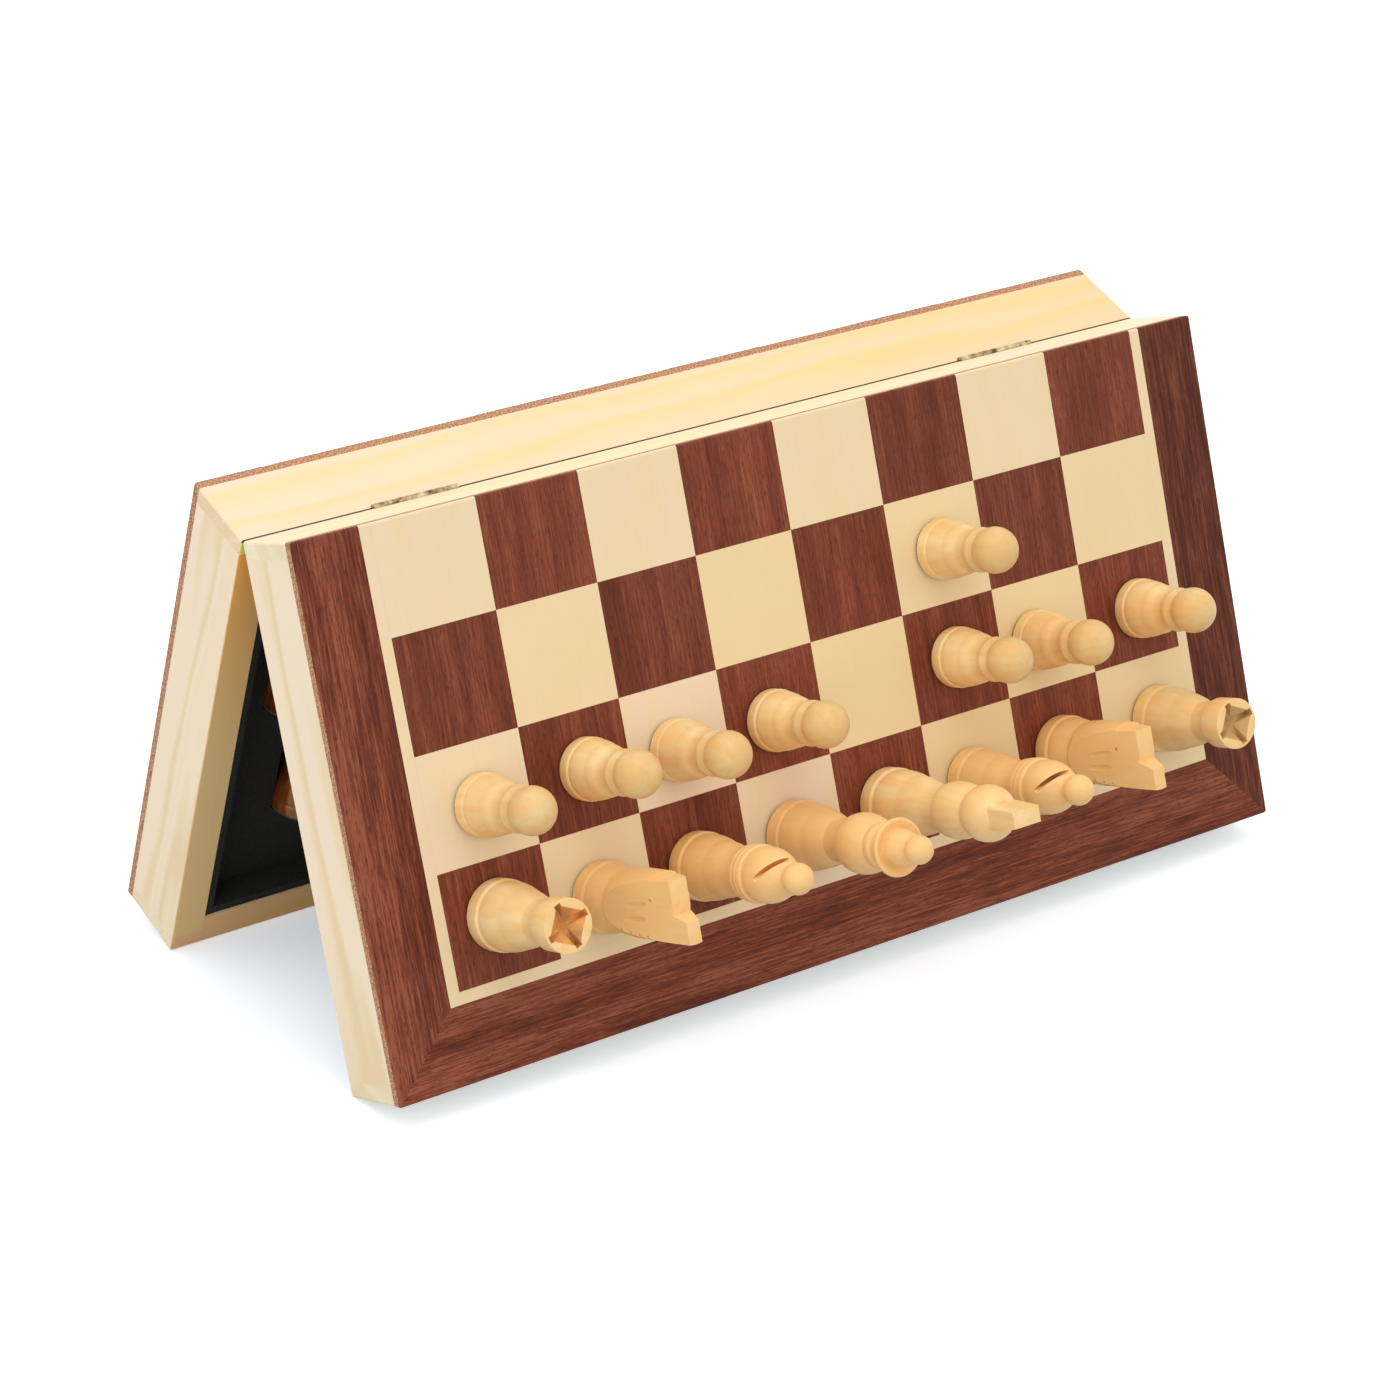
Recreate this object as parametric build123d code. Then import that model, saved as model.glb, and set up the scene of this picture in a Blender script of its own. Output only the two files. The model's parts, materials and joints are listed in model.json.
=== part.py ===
from build123d import *
from math import atan2, cos, degrees, hypot, radians, sin, sqrt
import os

# A folding chess box: two shallow trays hinged along one long side, standing as a tent.
# Each half is drawn in its own frame: X (u) along the hinge, Y (v) from the hinge side
# to the free side, Z (w) from the rim plane out to the playing face. All sizes are in mm.

# ---- the two halves ----
half_length = 302.8
half_width = 149.5
lean = 18.8             # degrees each half leans from upright in the tent
flat_gap = 0.3          # between the hinge-side walls when the board lies open
closed_gap = 0.4        # between the rims when the box is shut

rail_thickness = 9.7
rail_depth = 22.5
rail_lip = 4.8          # what is left of a long rail past its rabbet
core_thickness = 2.4
veneer_thickness = 0.6
corner_round = 0.8
face_round = 0.8
rim_round = 0.4

# ---- the board's veneers ----
file_pitch = 32.0
rank_pitch = 31.5
saw_cut = 1.2           # taken off the first rank when the board was sawn in two
files = 8
ranks = 4
stringing_width = 3.4
seam = 0.02             # glue line between veneers

# ---- the lining ----
steel_thickness = 0.5
foam_recess = 0.5       # raised edge of the foam below the rim
foam_edge = 2.5         # width of that edge
field_depth = 9.5       # foam between the pockets below the rim plane
foam_wall = 2.0         # least foam between a pocket and a rail
pocket_side = 0.25      # pocket clearance each side of a piece
pocket_end = 0.6        # pocket clearance at each end of a piece
pocket_under = 0.3      # pocket clearance under a piece
pocket_corner = 1.0
lying_depth = 0.3       # a stored piece's base below the rim plane
pawn_pocket_pitch = 31.5
pawn_pocket_base = 114.0
officer_pocket_pitch = 33.8
officer_pocket_base = 73.4

# ---- the hinges ----
hinge_length = 26.2
hinge_inset = 39.5      # from the end of the box to the hinge
outer_knuckle = 7.0
knuckle_gap = 0.1
knuckle_radius = 1.0
bore_radius = 0.5
pin_radius = 0.45
knuckle_clearance = 0.25
leaf_thickness = 0.55
leaf_reach = 8.0        # from the hinge-side wall
mortise_clearance = 0.1
tongue_start = 0.75     # from the pin's axis
screw_spacing = 16.0
screw_reach = 4.6       # from the hinge-side wall
screw_head_radius = 1.6
screw_head_depth = 0.9
screw_shank_radius = 0.8
screw_length = 9.0
screw_clearance = 0.05

# ---- the closing magnets ----
catch_radius = 3.0
catch_thickness = 2.5
catch_spacing = 180.0
catch_clearance = 0.05

# ---- the chessmen ----
felt_thickness = 0.8
felt_inset = 0.4        # felt disc's edge inside the base's edge
magnet_radius = 4.0
magnet_thickness = 3.0
magnet_clearance = 0.05
seat_gap = 0.02         # felt above the playing face
rook_slot_turns = (20.0, 110.0)     # degrees the two crossing cuts stand round the axis
rook_slot_width = 2.0
rook_slot_depth = 3.2
rook_bowl_reach = 7.0   # from the axis to a corner of the four-sided bowl
rook_bowl_depth = 4.6
rook_bowl_floor = 0.3   # half the width left flat at the bottom of the bowl
bishop_slot_width = 1.2
bishop_slot_tilt = 38.0
knight_foot_width = 22.8    # between the slanting flats at the foot of the piece
knight_crest_width = 3.9
knight_mane = 9.3           # from the axis to the mane's edge

# Turned outlines are (radius, height) points from the underside of the wood to the top.
# A third number bows the stretch outwards by that much; two more give a point on an arc.
foot = felt_thickness


def ball(height, radius, neck):
    drop = sqrt(radius**2 - neck**2)
    return [(neck, height - drop), (0, height + radius, radius, height)]


outlines = {
    "pawn": [
        (8.6, foot), (8.6, 4.0), (8.1, 4.5), (8.3, 5.2), (6.1, 14.2, 0.55), (5.6, 17.6, -0.15),
        (6.25, 18.5), (6.3, 19.8), (5.5, 20.6), *ball(25.3, 6.5, 5.0),
    ],
    "rook": [
        (9.7, foot), (9.7, 4.9), (9.1, 5.5), (9.35, 6.3), (8.4, 13.4, 0.3), (5.8, 21.6, 0.35),
        (5.8, 22.4), (6.9, 27.6, -0.35), (7.15, 28.2), (7.2, 34.8), (0, 34.8),
    ],
    "knight": [
        (9.8, foot), (9.8, 4.9), (9.25, 5.5), (9.4, 6.3), (8.1, 12.4, 0.3), (8.1, 13.2),
        (9.0, 16.0, 0.2), (9.3, 20.0), (9.3, 42.0), (0, 42.0),
    ],
    "bishop": [
        (9.45, foot), (9.45, 4.9), (8.9, 5.5), (9.05, 6.3), (8.0, 13.6, 0.3), (6.4, 20.5, 0.25),
        (6.3, 24.6), (7.4, 25.4), (7.5, 27.2), (7.2, 27.6), (7.8, 28.2), (7.9, 30.6), (7.4, 31.2),
        (3.2, 43.2, 7.35, 36.4), *ball(47.1, 4.3, 3.0),
    ],
    "queen": [
        (9.85, foot), (9.85, 5.2), (9.3, 5.8), (9.5, 6.6), (8.5, 14.0, 0.3), (5.9, 21.8, 0.4),
        (5.8, 26.6), (7.4, 28.8, -0.2), (6.5, 39.2, 8.35, 33.0), (6.0, 39.6), (6.2, 40.2), (6.2, 41.6),
        (5.4, 42.2), (8.0, 47.4, -0.9), (7.9, 48.1), (7.3, 48.3), (5.3, 47.2), (5.0, 48.0),
        (2.8, 53.6, 4.7, 51.2), *ball(56.7, 3.95, 2.8),
    ],
    "king": [
        (10.0, foot), (10.0, 4.8), (9.4, 5.4), (9.6, 6.2), (8.7, 14.2, 0.35), (6.2, 23.2, 0.45),
        (6.0, 27.2), (7.2, 28.8, -0.15), (6.6, 39.0, 7.95, 33.0), (6.0, 39.8), (6.0, 40.4),
        (3.8, 52.2, 7.85, 45.6), (0, 52.2),
    ],
}

# The knight from the side, (y, height): muzzle at -y, mane and ears at +y.
knight_side = [
    (-10.0, 0), (-10.0, 28.4), (-8.4, 29.6), (-9.2, 30.8), (-9.2, 36.8), (-8.2, 38.2), (0.6, 38.2),
    (1.2, 37.4), (3.0, 42.0), (8.6, 42.0), (10.0, 40.4), (10.0, 0),
]
knight_height = 42.0
mane_notches = [(18.5, 1.8), (22.0, 1.8), (25.5, 1.8), (29.0, 1.8)]    # height and depth of each cut
king_height = 62.0
king_block_start = 50.0         # where the squared block leaves the turned head
king_block_foot = (9.6, 6.6)    # across the files and along them
king_block_top = (8.9, 4.5)
king_block_turning = 5.3        # radius of the turning that the block was cut from

# Piece, file counted from the left of the raised side, rank from the hinge, and how far
# it stands off the centre of its square along the files and towards the free side.
light_pieces = {
    "light_rook_a1": ("rook", 0, 3, -0.6, -1.1),
    "light_knight_b1": ("knight", 1, 3, -0.2, 2.9),
    "light_bishop_c1": ("bishop", 2, 3, -1.2, 2.7),
    "light_queen_d1": ("queen", 3, 3, -0.4, 2.9),
    "light_king_e1": ("king", 4, 3, 0.3, 2.3),
    "light_bishop_f1": ("bishop", 5, 3, -1.6, 3.5),
    "light_knight_g1": ("knight", 6, 3, -0.9, 2.8),
    "light_rook_h1": ("rook", 7, 3, 3.5, 2.7),
    "light_pawn_a2": ("pawn", 0, 2, 0.8, 1.1),
    "light_pawn_b2": ("pawn", 1, 2, 1.9, -0.1),
    "light_pawn_c2": ("pawn", 2, 2, -1.5, 2.0),
    "light_pawn_d2": ("pawn", 3, 2, -1.2, 1.8),
    "light_pawn_f3": ("pawn", 5, 1, 0.4, 0.4),
    "light_pawn_f2": ("pawn", 5, 2, -0.8, -0.4),
    "light_pawn_g2": ("pawn", 6, 2, -3.9, 1.5),
    "light_pawn_h2": ("pawn", 7, 2, 2.4, 1.2),
}
stored_officers = ["rook", "knight", "bishop", "queen", "king", "bishop", "knight", "rook"]

# ---- sizes that follow ----
axis_v = -flat_gap / 2
axis_w = -closed_gap / 2
core_top = rail_depth + core_thickness
half_depth = core_top + veneer_thickness
end_u = half_length / 2
squares_u = files / 2 * file_pitch
squares_v = ranks * rank_pitch - saw_cut
lining_u = end_u - rail_thickness
lining_v = (rail_thickness, half_width - rail_thickness)
steel_bottom = rail_depth - steel_thickness
hinge_u = end_u - hinge_inset - hinge_length / 2


def block(u, v, w):
    size = (u[1] - u[0], v[1] - v[0], w[1] - w[0])
    return Pos(u[0], v[0], w[0]) * Box(*size, align=(Align.MIN, Align.MIN, Align.MIN))


def both(reach):
    return (-reach, reach)


def rod(u, v, w, radius):
    # a cylinder along the hinge between two values of u
    middle = Pos((u[0] + u[1]) / 2, v, w)
    return middle * Rot(0, 90, 0) * Cylinder(radius, u[1] - u[0])


def drilled(u, v, w, radius):
    # a cylinder square to the face between two values of w
    return Pos(u, v, w[0]) * Cylinder(radius, w[1] - w[0], align=(Align.CENTER, Align.CENTER, Align.MIN))


# ---- the halves ----
def rounded_half():
    body = block(both(end_u), (0, half_width), (0, half_depth))
    body = fillet(body.edges().filter_by(Axis.Z), corner_round)
    body = fillet(body.faces().sort_by(Axis.Z)[-1].edges(), face_round)
    return fillet(body.faces().sort_by(Axis.Z)[0].edges(), rim_round)


def hinge_screw(clearance):
    # a countersunk screw at the origin, its head just below the rim plane
    head = Cone(screw_head_radius + clearance, screw_shank_radius + clearance, screw_head_depth)
    head = Pos(0, 0, screw_head_depth / 2 + screw_clearance) * head
    shank = drilled(0, 0, (screw_clearance, screw_length + clearance), screw_shank_radius + clearance)
    return head + shank


def at_screws(shape):
    spots = []
    for side in (-1, 1):
        for end in (-1, 1):
            spots.append(Pos(side * hinge_u + end * screw_spacing / 2, screw_reach, 0) * shape)
    return spots


def screw_holes():
    # the same screw with clearance, opened to the rim plane above its head
    mouth = drilled(0, 0, (-1, 2 * screw_clearance), screw_head_radius + screw_clearance)
    return at_screws(hinge_screw(screw_clearance) + mouth)


def hinge_seats():
    cuts = []
    for side in (-1, 1):
        reach = hinge_length / 2 + mortise_clearance
        depth = (-1, leaf_reach + mortise_clearance)
        leaf_seat = Pos(side * hinge_u, 0, 0) * block(both(reach), depth, (-1, leaf_thickness))
        groove_u = (side * hinge_u - reach - mortise_clearance, side * hinge_u + reach + mortise_clearance)
        cuts += [leaf_seat, rod(groove_u, axis_v, axis_w, knuckle_radius + knuckle_clearance)]
    return cuts


def hinge_rail(blank):
    rail = block(both(end_u), (0, rail_thickness), (0, rail_depth))
    for side in (-1, 1):
        ends = sorted((side * lining_u, side * (end_u + 1)))
        rail -= block(ends, (rail_lip, rail_thickness + 1), (-1, rail_depth + 1))
    for cut in hinge_seats() + screw_holes():
        rail -= cut
    return rail & blank


def free_rail(blank):
    rail = block(both(end_u), (lining_v[1], half_width), (0, rail_depth))
    for side in (-1, 1):
        ends = sorted((side * lining_u, side * (end_u + 1)))
        rail -= block(ends, (lining_v[1] - 1, half_width - rail_lip), (-1, rail_depth + 1))
    for cut in catch_magnets(catch_clearance):
        rail -= cut
    return rail & blank


def end_rail(side, blank):
    ends = sorted((side * lining_u, side * end_u))
    return block(ends, (rail_lip, half_width - rail_lip), (0, rail_depth)) & blank


def catch_magnets(clearance):
    # discs flush in the free rail's rim; with a clearance, the holes they sit in
    depth = (catch_clearance - 2 * clearance, catch_clearance + catch_thickness)
    spots = []
    for side in (-1, 1):
        spots.append(drilled(side * catch_spacing / 2, half_width - rail_thickness / 2,
                             depth, catch_radius + clearance))
    return spots


def core_board(blank):
    return block(both(end_u), (0, half_width), (rail_depth, core_top)) & blank


def squares(dark, blank):
    tiles = []
    for file in range(files):
        for rank in range(ranks):
            if ((file + rank) % 2 == 0) != dark:
                continue
            u = (file * file_pitch - squares_u + seam / 2, (file + 1) * file_pitch - squares_u - seam / 2)
            near = max(0, rank * rank_pitch - saw_cut + seam / 2)
            v = (near, (rank + 1) * rank_pitch - saw_cut - seam / 2)
            tiles.append(block(u, v, (core_top, half_depth)) & blank)
    return tiles


def mitred_band(inner_u, inner_v, outer_u, outer_v, blank):
    # three strips round the two sides and the free side, mitred at the two corners
    band = block(both(outer_u), (0, outer_v), (core_top, half_depth))
    band -= block(both(inner_u), (-1, inner_v), (core_top - 1, half_depth + 1))
    rise = (outer_u - inner_u, outer_v - inner_v)
    for side in (-1, 1):
        kerf = Box(hypot(*rise) * 1.5, seam, 4 * veneer_thickness)
        middle = Pos(side * (inner_u + outer_u) / 2, (inner_v + outer_v) / 2, half_depth)
        band -= middle * Rot(0, 0, side * degrees(atan2(rise[1], rise[0]))) * kerf
    return band & blank


def steel_sheet():
    return block(both(lining_u), lining_v, (steel_bottom, rail_depth))


def base_radius(kind):
    return outlines[kind][0][0]


def piece_height(kind):
    carved = {"knight": knight_height, "king": king_height}
    return carved.get(kind, max(point[1] for point in outlines[kind]))


def stored_places():
    # kind, u and v of the underside of each piece lying in the lining, head to the hinge
    places = []
    for slot in range(files):
        places.append(("pawn", (slot - (files - 1) / 2) * pawn_pocket_pitch, pawn_pocket_base))
    for slot, kind in enumerate(stored_officers):
        least = lining_v[0] + foam_wall + pocket_end + piece_height(kind)
        base_v = max(officer_pocket_base, least)
        places.append((kind, (slot - (files - 1) / 2) * officer_pocket_pitch, base_v))
    return places


def lying_axis(kind):
    return lying_depth + base_radius(kind)


def pocket(kind, u, base_v):
    reach = base_radius(kind) + pocket_side
    v = (base_v - piece_height(kind) - pocket_end, base_v + pocket_end)
    w = (-1, lying_axis(kind) + base_radius(kind) + pocket_under)
    hole = block((u - reach, u + reach), v, w)
    return fillet(hole.edges().filter_by(Axis.Z), pocket_corner)


def foam():
    pad = block(both(lining_u), lining_v, (foam_recess, steel_bottom))
    field_v = (lining_v[0] + foam_edge, lining_v[1] - foam_edge)
    pad -= block(both(lining_u - foam_edge), field_v, (-1, field_depth))
    for place in stored_places():
        pad -= pocket(*place)
    return pad


# ---- the hinges ----
def barrel(spans):
    knuckles = []
    for span in spans:
        ring = rod(span, axis_v, axis_w, knuckle_radius)
        tongue = block(span, (axis_v + tongue_start, leaf_reach), (0, leaf_thickness))
        knuckles.append(ring + tongue)
    return knuckles


def hinge_leaf(spans):
    clear = knuckle_radius + knuckle_clearance
    leaf = block(both(hinge_length / 2), (axis_v + clear, leaf_reach), (0, leaf_thickness))
    for knuckle in barrel(spans):
        leaf += knuckle
    leaf -= rod(both(hinge_length), axis_v, axis_w, bore_radius)
    mouth = drilled(0, 0, (-1, 2 * screw_clearance), screw_head_radius + screw_clearance)
    for end in (-1, 1):
        hole = hinge_screw(screw_clearance) + mouth
        leaf -= Pos(end * screw_spacing / 2, screw_reach, 0) * hole
    return leaf


outer_start = hinge_length / 2 - outer_knuckle
front_spans = [(-hinge_length / 2, -outer_start), (outer_start, hinge_length / 2)]
rear_spans = [(-outer_start + knuckle_gap, outer_start - knuckle_gap)]


# ---- the chessmen, each standing on z = 0 ----
def turned(outline):
    lines = [Line((0, outline[0][1]), outline[0])]
    for here, there in zip(outline, outline[1:]):
        if len(there) == 2:
            lines.append(Line(here[:2], there))
        elif len(there) == 3:
            lines.append(SagittaArc(here[:2], there[:2], -there[2]))
        else:
            lines.append(ThreePointArc(here[:2], there[2:], there[:2]))
    lines.append(Line(outline[-1][:2], (0, outline[0][1])))
    return revolve(make_face(Plane.XZ * Wire(lines)), Axis.Z)


def rook_crown(wood):
    # a four-sided bowl whose corners run out into two crossing cuts
    top = piece_height("rook")
    mouth = Pos(0, 0, top) * Rectangle(rook_bowl_reach * sqrt(2), rook_bowl_reach * sqrt(2))
    floor = Pos(0, 0, top - rook_bowl_depth) * Rectangle(2 * rook_bowl_floor, 2 * rook_bowl_floor)
    wood -= Rot(0, 0, rook_slot_turns[0] + 45) * loft([floor, mouth])
    for turn in rook_slot_turns:
        slot = block(both(base_radius("rook")), both(rook_slot_width / 2), (top - rook_slot_depth, top + 1))
        wood -= Rot(0, 0, turn) * slot
    return wood


def knight_head(wood):
    # two slanting flats and a side profile cut from the turned piece
    reach = 2 * base_radius("knight")
    wood &= extrude(make_face(Plane.YZ * Polyline(*knight_side, close=True)), reach, both=True)
    front = Polyline(
        (-knight_foot_width / 2, 0), (knight_foot_width / 2, 0),
        (knight_crest_width / 2, knight_height), (-knight_crest_width / 2, knight_height), close=True)
    wood &= extrude(make_face(Plane.XZ * front), reach, both=True)
    for height, depth in mane_notches:
        cut = Box(2 * reach, depth, depth)
        wood -= Pos(0, knight_mane, height) * Rot(45, 0, 0) * cut
    return wood


def bishop_slot(wood):
    cut = block(both(base_radius("bishop")), (-base_radius("bishop"), -1), both(bishop_slot_width / 2))
    return wood - Pos(0, 0, outlines["bishop"][-3][3]) * Rot(-bishop_slot_tilt, 0, 0) * cut


def king_finial(wood):
    foot_face = Pos(0, 0, king_block_start) * Rectangle(*king_block_foot)
    top_face = Pos(0, 0, king_height) * Rectangle(*king_block_top)
    turning = drilled(0, 0, (king_block_start, king_height), king_block_turning)
    return wood + (loft([foot_face, top_face]) & turning)


def chessman(kind):
    wood = turned(outlines[kind])
    if kind == "rook":
        wood = rook_crown(wood)
    if kind == "knight":
        wood = knight_head(wood)
    if kind == "bishop":
        wood = bishop_slot(wood)
    if kind == "king":
        wood = king_finial(wood)
    magnet_top = felt_thickness + magnet_thickness
    wood -= drilled(0, 0, (0, magnet_top + magnet_clearance), magnet_radius + magnet_clearance)
    magnet = drilled(0, 0, (felt_thickness, magnet_top), magnet_radius)
    felt = drilled(0, 0, (0, felt_thickness), base_radius(kind) - felt_inset)
    return wood, magnet, felt


# ---- everything in place round the hinge ----
def half_plane(side):
    # side is 1 for the rear half and -1 for the raised front half
    tilt = radians(lean)
    plane = Plane(origin=(0, 0, 0), x_dir=(side, 0, 0), z_dir=(0, side * cos(tilt), sin(tilt)))
    return plane.location * Pos(0, -axis_v, -axis_w)


def solids_of(shape):
    if isinstance(shape, (list, tuple)):
        return [solid for piece in shape for solid in piece.solids()]
    return list(shape.solids())


nodes = {}


def add(name, place, shape):
    nodes[name] = Compound([place * solid for solid in solids_of(shape)])


blank = rounded_half()
men = {kind: chessman(kind) for kind in outlines}
screw = hinge_screw(0)

for name, side, spans in (("front", -1, front_spans), ("rear", 1, rear_spans)):
    place = half_plane(side)
    add(name + "_hinge_rail", place, hinge_rail(blank))
    add(name + "_free_rail", place, free_rail(blank))
    add(name + "_left_rail", place, end_rail(-side, blank))
    add(name + "_right_rail", place, end_rail(side, blank))
    add(name + "_core_board", place, core_board(blank))
    add(name + "_dark_squares", place, squares(True, blank))
    add(name + "_light_squares", place, squares(False, blank))
    stringing_u = squares_u + stringing_width
    stringing_v = squares_v + stringing_width
    add(name + "_stringing", place, mitred_band(squares_u + seam / 2, squares_v + seam / 2,
                                                stringing_u, stringing_v, blank))
    add(name + "_border", place, mitred_band(stringing_u + seam / 2, stringing_v + seam / 2,
                                             end_u, half_width, blank))
    add(name + "_steel_sheet", place, steel_sheet())
    add(name + "_foam", place, foam())
    add(name + "_catch_magnets", place, catch_magnets(0))
    add(name + "_hinge_screws", place, at_screws(screw))
    leaf = hinge_leaf(spans)
    add(name + "_left_leaf", place * Pos(-side * hinge_u, 0, 0), leaf)
    add(name + "_right_leaf", place * Pos(side * hinge_u, 0, 0), leaf)

pin = rod(both(hinge_length / 2), 0, 0, pin_radius)
add("left_hinge_pin", Pos(-hinge_u, 0, 0), pin)
add("right_hinge_pin", Pos(hinge_u, 0, 0), pin)

board = half_plane(-1)
for name, (kind, file, rank, along, down) in light_pieces.items():
    u = squares_u - (file + 0.5) * file_pitch - along
    v = (rank + 0.5) * rank_pitch - saw_cut + down
    add(name, board * Pos(u, v, half_depth + seat_gap), men[kind])

lying = {}
for kind, u, base_v in stored_places():
    spot = Pos(u, base_v, lying_axis(kind)) * Rot(90, 0, 0)
    lying.setdefault("dark_" + kind + "s", []).append(spot * men[kind][0])
    lying.setdefault("dark_piece_magnets", []).append(spot * men[kind][1])
    lying.setdefault("dark_piece_felts", []).append(spot * men[kind][2])
for name, shapes in lying.items():
    single = name in ("dark_queens", "dark_kings")
    add(name[:-1] if single else name, half_plane(1), shapes)

# ---- the frame: Z up, origin on the ground at the middle of the outline ----
outline = Compound(list(nodes.values())).bounding_box()
hinge = Vector(-(outline.min.X + outline.max.X) / 2, -(outline.min.Y + outline.max.Y) / 2, -outline.min.Z)

os.makedirs("parts", exist_ok=True)
for name, shape in nodes.items():
    export_step(Pos(hinge.X, hinge.Y, hinge.Z) * shape, "parts/" + name + ".step")
print(len(nodes), "nodes; hinge axis at", round(hinge.X, 4), round(hinge.Y, 4), round(hinge.Z, 4))
print("overall", outline.size)
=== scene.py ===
import json
from math import atan2, cos, pi, radians, sin, sqrt
import bpy
from mathutils import Euler, Matrix, Vector


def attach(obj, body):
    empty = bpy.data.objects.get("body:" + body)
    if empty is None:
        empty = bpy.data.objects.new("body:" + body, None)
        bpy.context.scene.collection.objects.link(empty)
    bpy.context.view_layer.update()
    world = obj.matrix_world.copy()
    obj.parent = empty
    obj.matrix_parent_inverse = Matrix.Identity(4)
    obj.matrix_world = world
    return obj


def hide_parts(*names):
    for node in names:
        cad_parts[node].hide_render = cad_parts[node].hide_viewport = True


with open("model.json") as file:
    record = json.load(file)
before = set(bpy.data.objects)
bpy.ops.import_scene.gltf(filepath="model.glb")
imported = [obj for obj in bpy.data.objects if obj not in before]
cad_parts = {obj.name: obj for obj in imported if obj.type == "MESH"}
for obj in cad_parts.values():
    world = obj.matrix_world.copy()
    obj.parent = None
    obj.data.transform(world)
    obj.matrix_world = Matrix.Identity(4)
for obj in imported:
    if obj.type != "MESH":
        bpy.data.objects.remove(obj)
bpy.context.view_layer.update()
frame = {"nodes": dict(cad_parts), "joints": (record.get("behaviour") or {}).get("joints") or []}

nodes = frame["nodes"]
mm = 0.001
print("frame loaded")

# how the two halves meet; u runs along the hinge, v from it down to the free side, and w from the
# rim out to the playing face, all in millimetres
board = {
    "flatGap": 0.3, "shutGap": 0.4, "length": 302.8, "width": 149.5, "rail": 9.7, "stringing": 3.4,
    "file": 32.0, "rank": 31.5, "sawCut": 1.2, "files": 8, "ranks": 4,
}
fold = next(joint for joint in frame["joints"] if joint["name"] == "fold")
hingePoint = Vector(fold["pos_m"])
lean = -radians(fold["range_deg"][0]) / 2
rear, front = 1, -1


def halfMatrix(side):
    # from a half's own u, v, w in millimetres to the frame's metres
    turn = Matrix(((side, 0, 0), (0, side * sin(lean), -cos(lean)), (0, side * cos(lean), sin(lean))))
    move = Matrix.Translation((0, board["flatGap"] / 2, board["shutGap"] / 2))
    return Matrix.Translation(hingePoint) @ turn.transposed().to_4x4() @ Matrix.Scale(mm, 4) @ move


def colour(red, green, blue):
    # a screen colour, 0 to 255, as the shader wants it
    def straight(value):
        value = value / 255
        return value / 12.92 if value <= 0.04045 else ((value + 0.055) / 1.055) ** 2.4
    return (straight(red), straight(green), straight(blue), 1)


def put(tree, kind, values=None, **settings):
    item = tree.nodes.new("ShaderNode" + kind)
    for key, value in settings.items():
        setattr(item, key, value)
    for key, value in (values or {}).items():
        if isinstance(value, bpy.types.NodeSocket):
            tree.links.new(value, item.inputs[key])
        else:
            item.inputs[key].default_value = value
    return item


def calc(tree, operation, *values):
    return put(tree, "Math", dict(enumerate(values)), operation=operation).outputs[0]


def mix(tree, amount, first, second, way="MIX"):
    item = put(tree, "Mix", data_type="RGBA", blend_type=way)
    for key, value in ((0, amount), (6, first), (7, second)):
        if isinstance(value, bpy.types.NodeSocket):
            tree.links.new(value, item.inputs[key])
        else:
            item.inputs[key].default_value = value
    return item.outputs[2]


def ramp(tree, amount, *stops):
    item = put(tree, "ValToRGB", {0: amount})
    item.color_ramp.elements[0].position, item.color_ramp.elements[0].color = stops[0]
    item.color_ramp.elements[1].position, item.color_ramp.elements[1].color = stops[-1]
    for place, tone in stops[1:-1]:
        item.color_ramp.elements.new(place).color = tone
    return item.outputs[0]


def noise(tree, vector, scale, detail=2.0, rough=0.5):
    values = {"Vector": vector, "Scale": scale, "Detail": detail, "Roughness": rough}
    return put(tree, "TexNoise", values).outputs["Fac"]


def halfCoords(tree, side):
    # the half's own u, v, w in millimetres
    place, turn, size = halfMatrix(side).inverted().decompose()
    coords = put(tree, "TexCoord").outputs["Object"]
    values = {"Vector": coords, "Location": place, "Rotation": turn.to_euler(), "Scale": size}
    return put(tree, "Mapping", values).outputs[0]


def split(tree, vector):
    item = put(tree, "SeparateXYZ", {0: vector})
    return item.outputs[0], item.outputs[1], item.outputs[2]


def join(tree, x, y, z):
    return put(tree, "CombineXYZ", {0: x, 1: y, 2: z}).outputs[0]


def stretch(tree, values, scales):
    # each coordinate times its own scale, for a figure that is longer one way than another
    return join(tree, *(calc(tree, "MULTIPLY", value, scale) for value, scale in zip(values, scales)))


def blend(tree, first, second, share):
    # two numbers mixed, share being the second one's part
    kept = calc(tree, "MULTIPLY", first, 1 - share)
    return calc(tree, "ADD", kept, calc(tree, "MULTIPLY", second, share))


def grey(value):
    return (value, value, value, 1)


def newMaterial(name, look):
    material = bpy.data.materials.new(name)
    material.use_nodes = True
    shader = material.node_tree.nodes["Principled BSDF"]
    shader.inputs["Roughness"].default_value = look["roughness"]
    shader.inputs["Specular IOR Level"].default_value = look["specular"]
    return material, material.node_tree, shader


def bump(tree, shader, height, look):
    # relief is in millimetres, and below zero the surface sinks where the height is great
    values = {"Height": height, "Distance": look["relief"] * mm, "Strength": look["strength"]}
    tree.links.new(put(tree, "Bump", values).outputs[0], shader.inputs["Normal"])


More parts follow.
